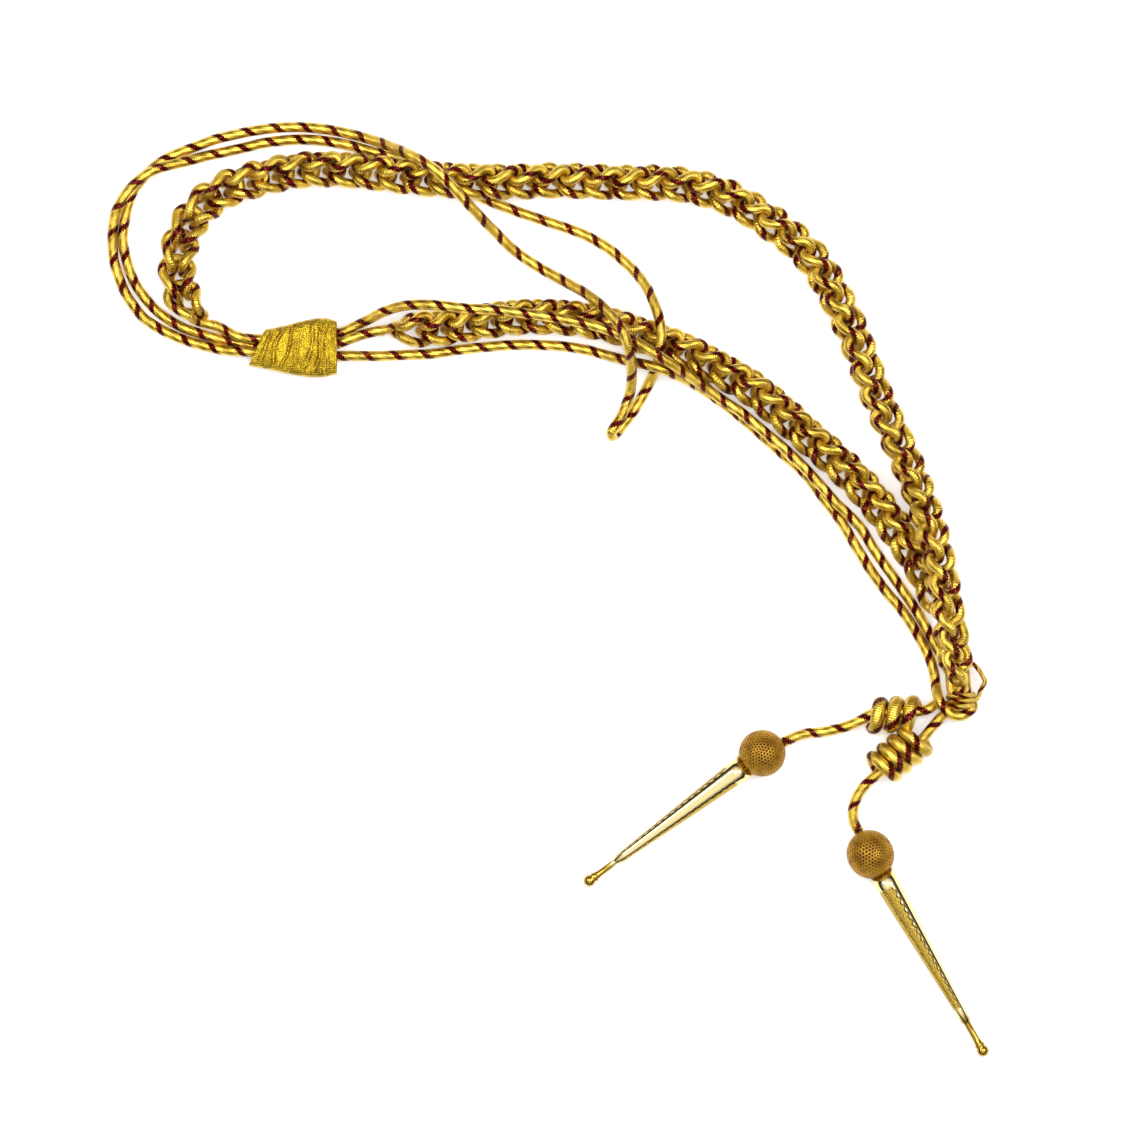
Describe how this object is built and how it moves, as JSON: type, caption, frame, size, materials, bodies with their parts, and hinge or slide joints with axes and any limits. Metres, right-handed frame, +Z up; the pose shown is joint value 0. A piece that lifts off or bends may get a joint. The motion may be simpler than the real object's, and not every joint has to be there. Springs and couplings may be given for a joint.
{
  "type": "aiguillette",
  "caption": "Dress aiguillette of gilt cord: chain-worked plaits, a doubled shoulder loop and plain cords held by a lace band and a lashing, ending in knotted cords with balls and tapered tags.",
  "frame": {"origin": "on the table under the middle of the part's outline as it lies", "axes": "+Z up from the table; +Y towards the top of the shoulder loop, away from the tags; +X towards the gather"},
  "size_m": [0.4404, 0.4669, 0.0376],
  "materials": {
    "gilt_cord": "ribbed metallic thread with a dark red fleck",
    "gold_lace": "crumpled metallic lace",
    "net_ball": "fine metallic net",
    "polished_gilt": "polished, engraved"
  },
  "bodies": {
    "root": {"long_plait": "gilt_cord", "short_plait": "gilt_cord", "long_plait_tail": "gilt_cord", "short_plait_tail": "gilt_cord", "shoulder_loop_cord": "gilt_cord", "arm_cord_upper": "gilt_cord", "arm_cord_lower": "gilt_cord", "lace_band": "gold_lace", "gather_core": "gilt_cord", "gather_lashing": "gilt_cord", "button_loop": "gilt_cord", "knot_upper": "gilt_cord", "knot_lower": "gilt_cord", "tag_cord_left": "gilt_cord", "tag_cord_right": "gilt_cord", "tag_ball_left": "net_ball", "tag_ball_right": "net_ball", "tag_spike_left": "polished_gilt", "tag_spike_right": "polished_gilt"}
  },
  "joints": []
}
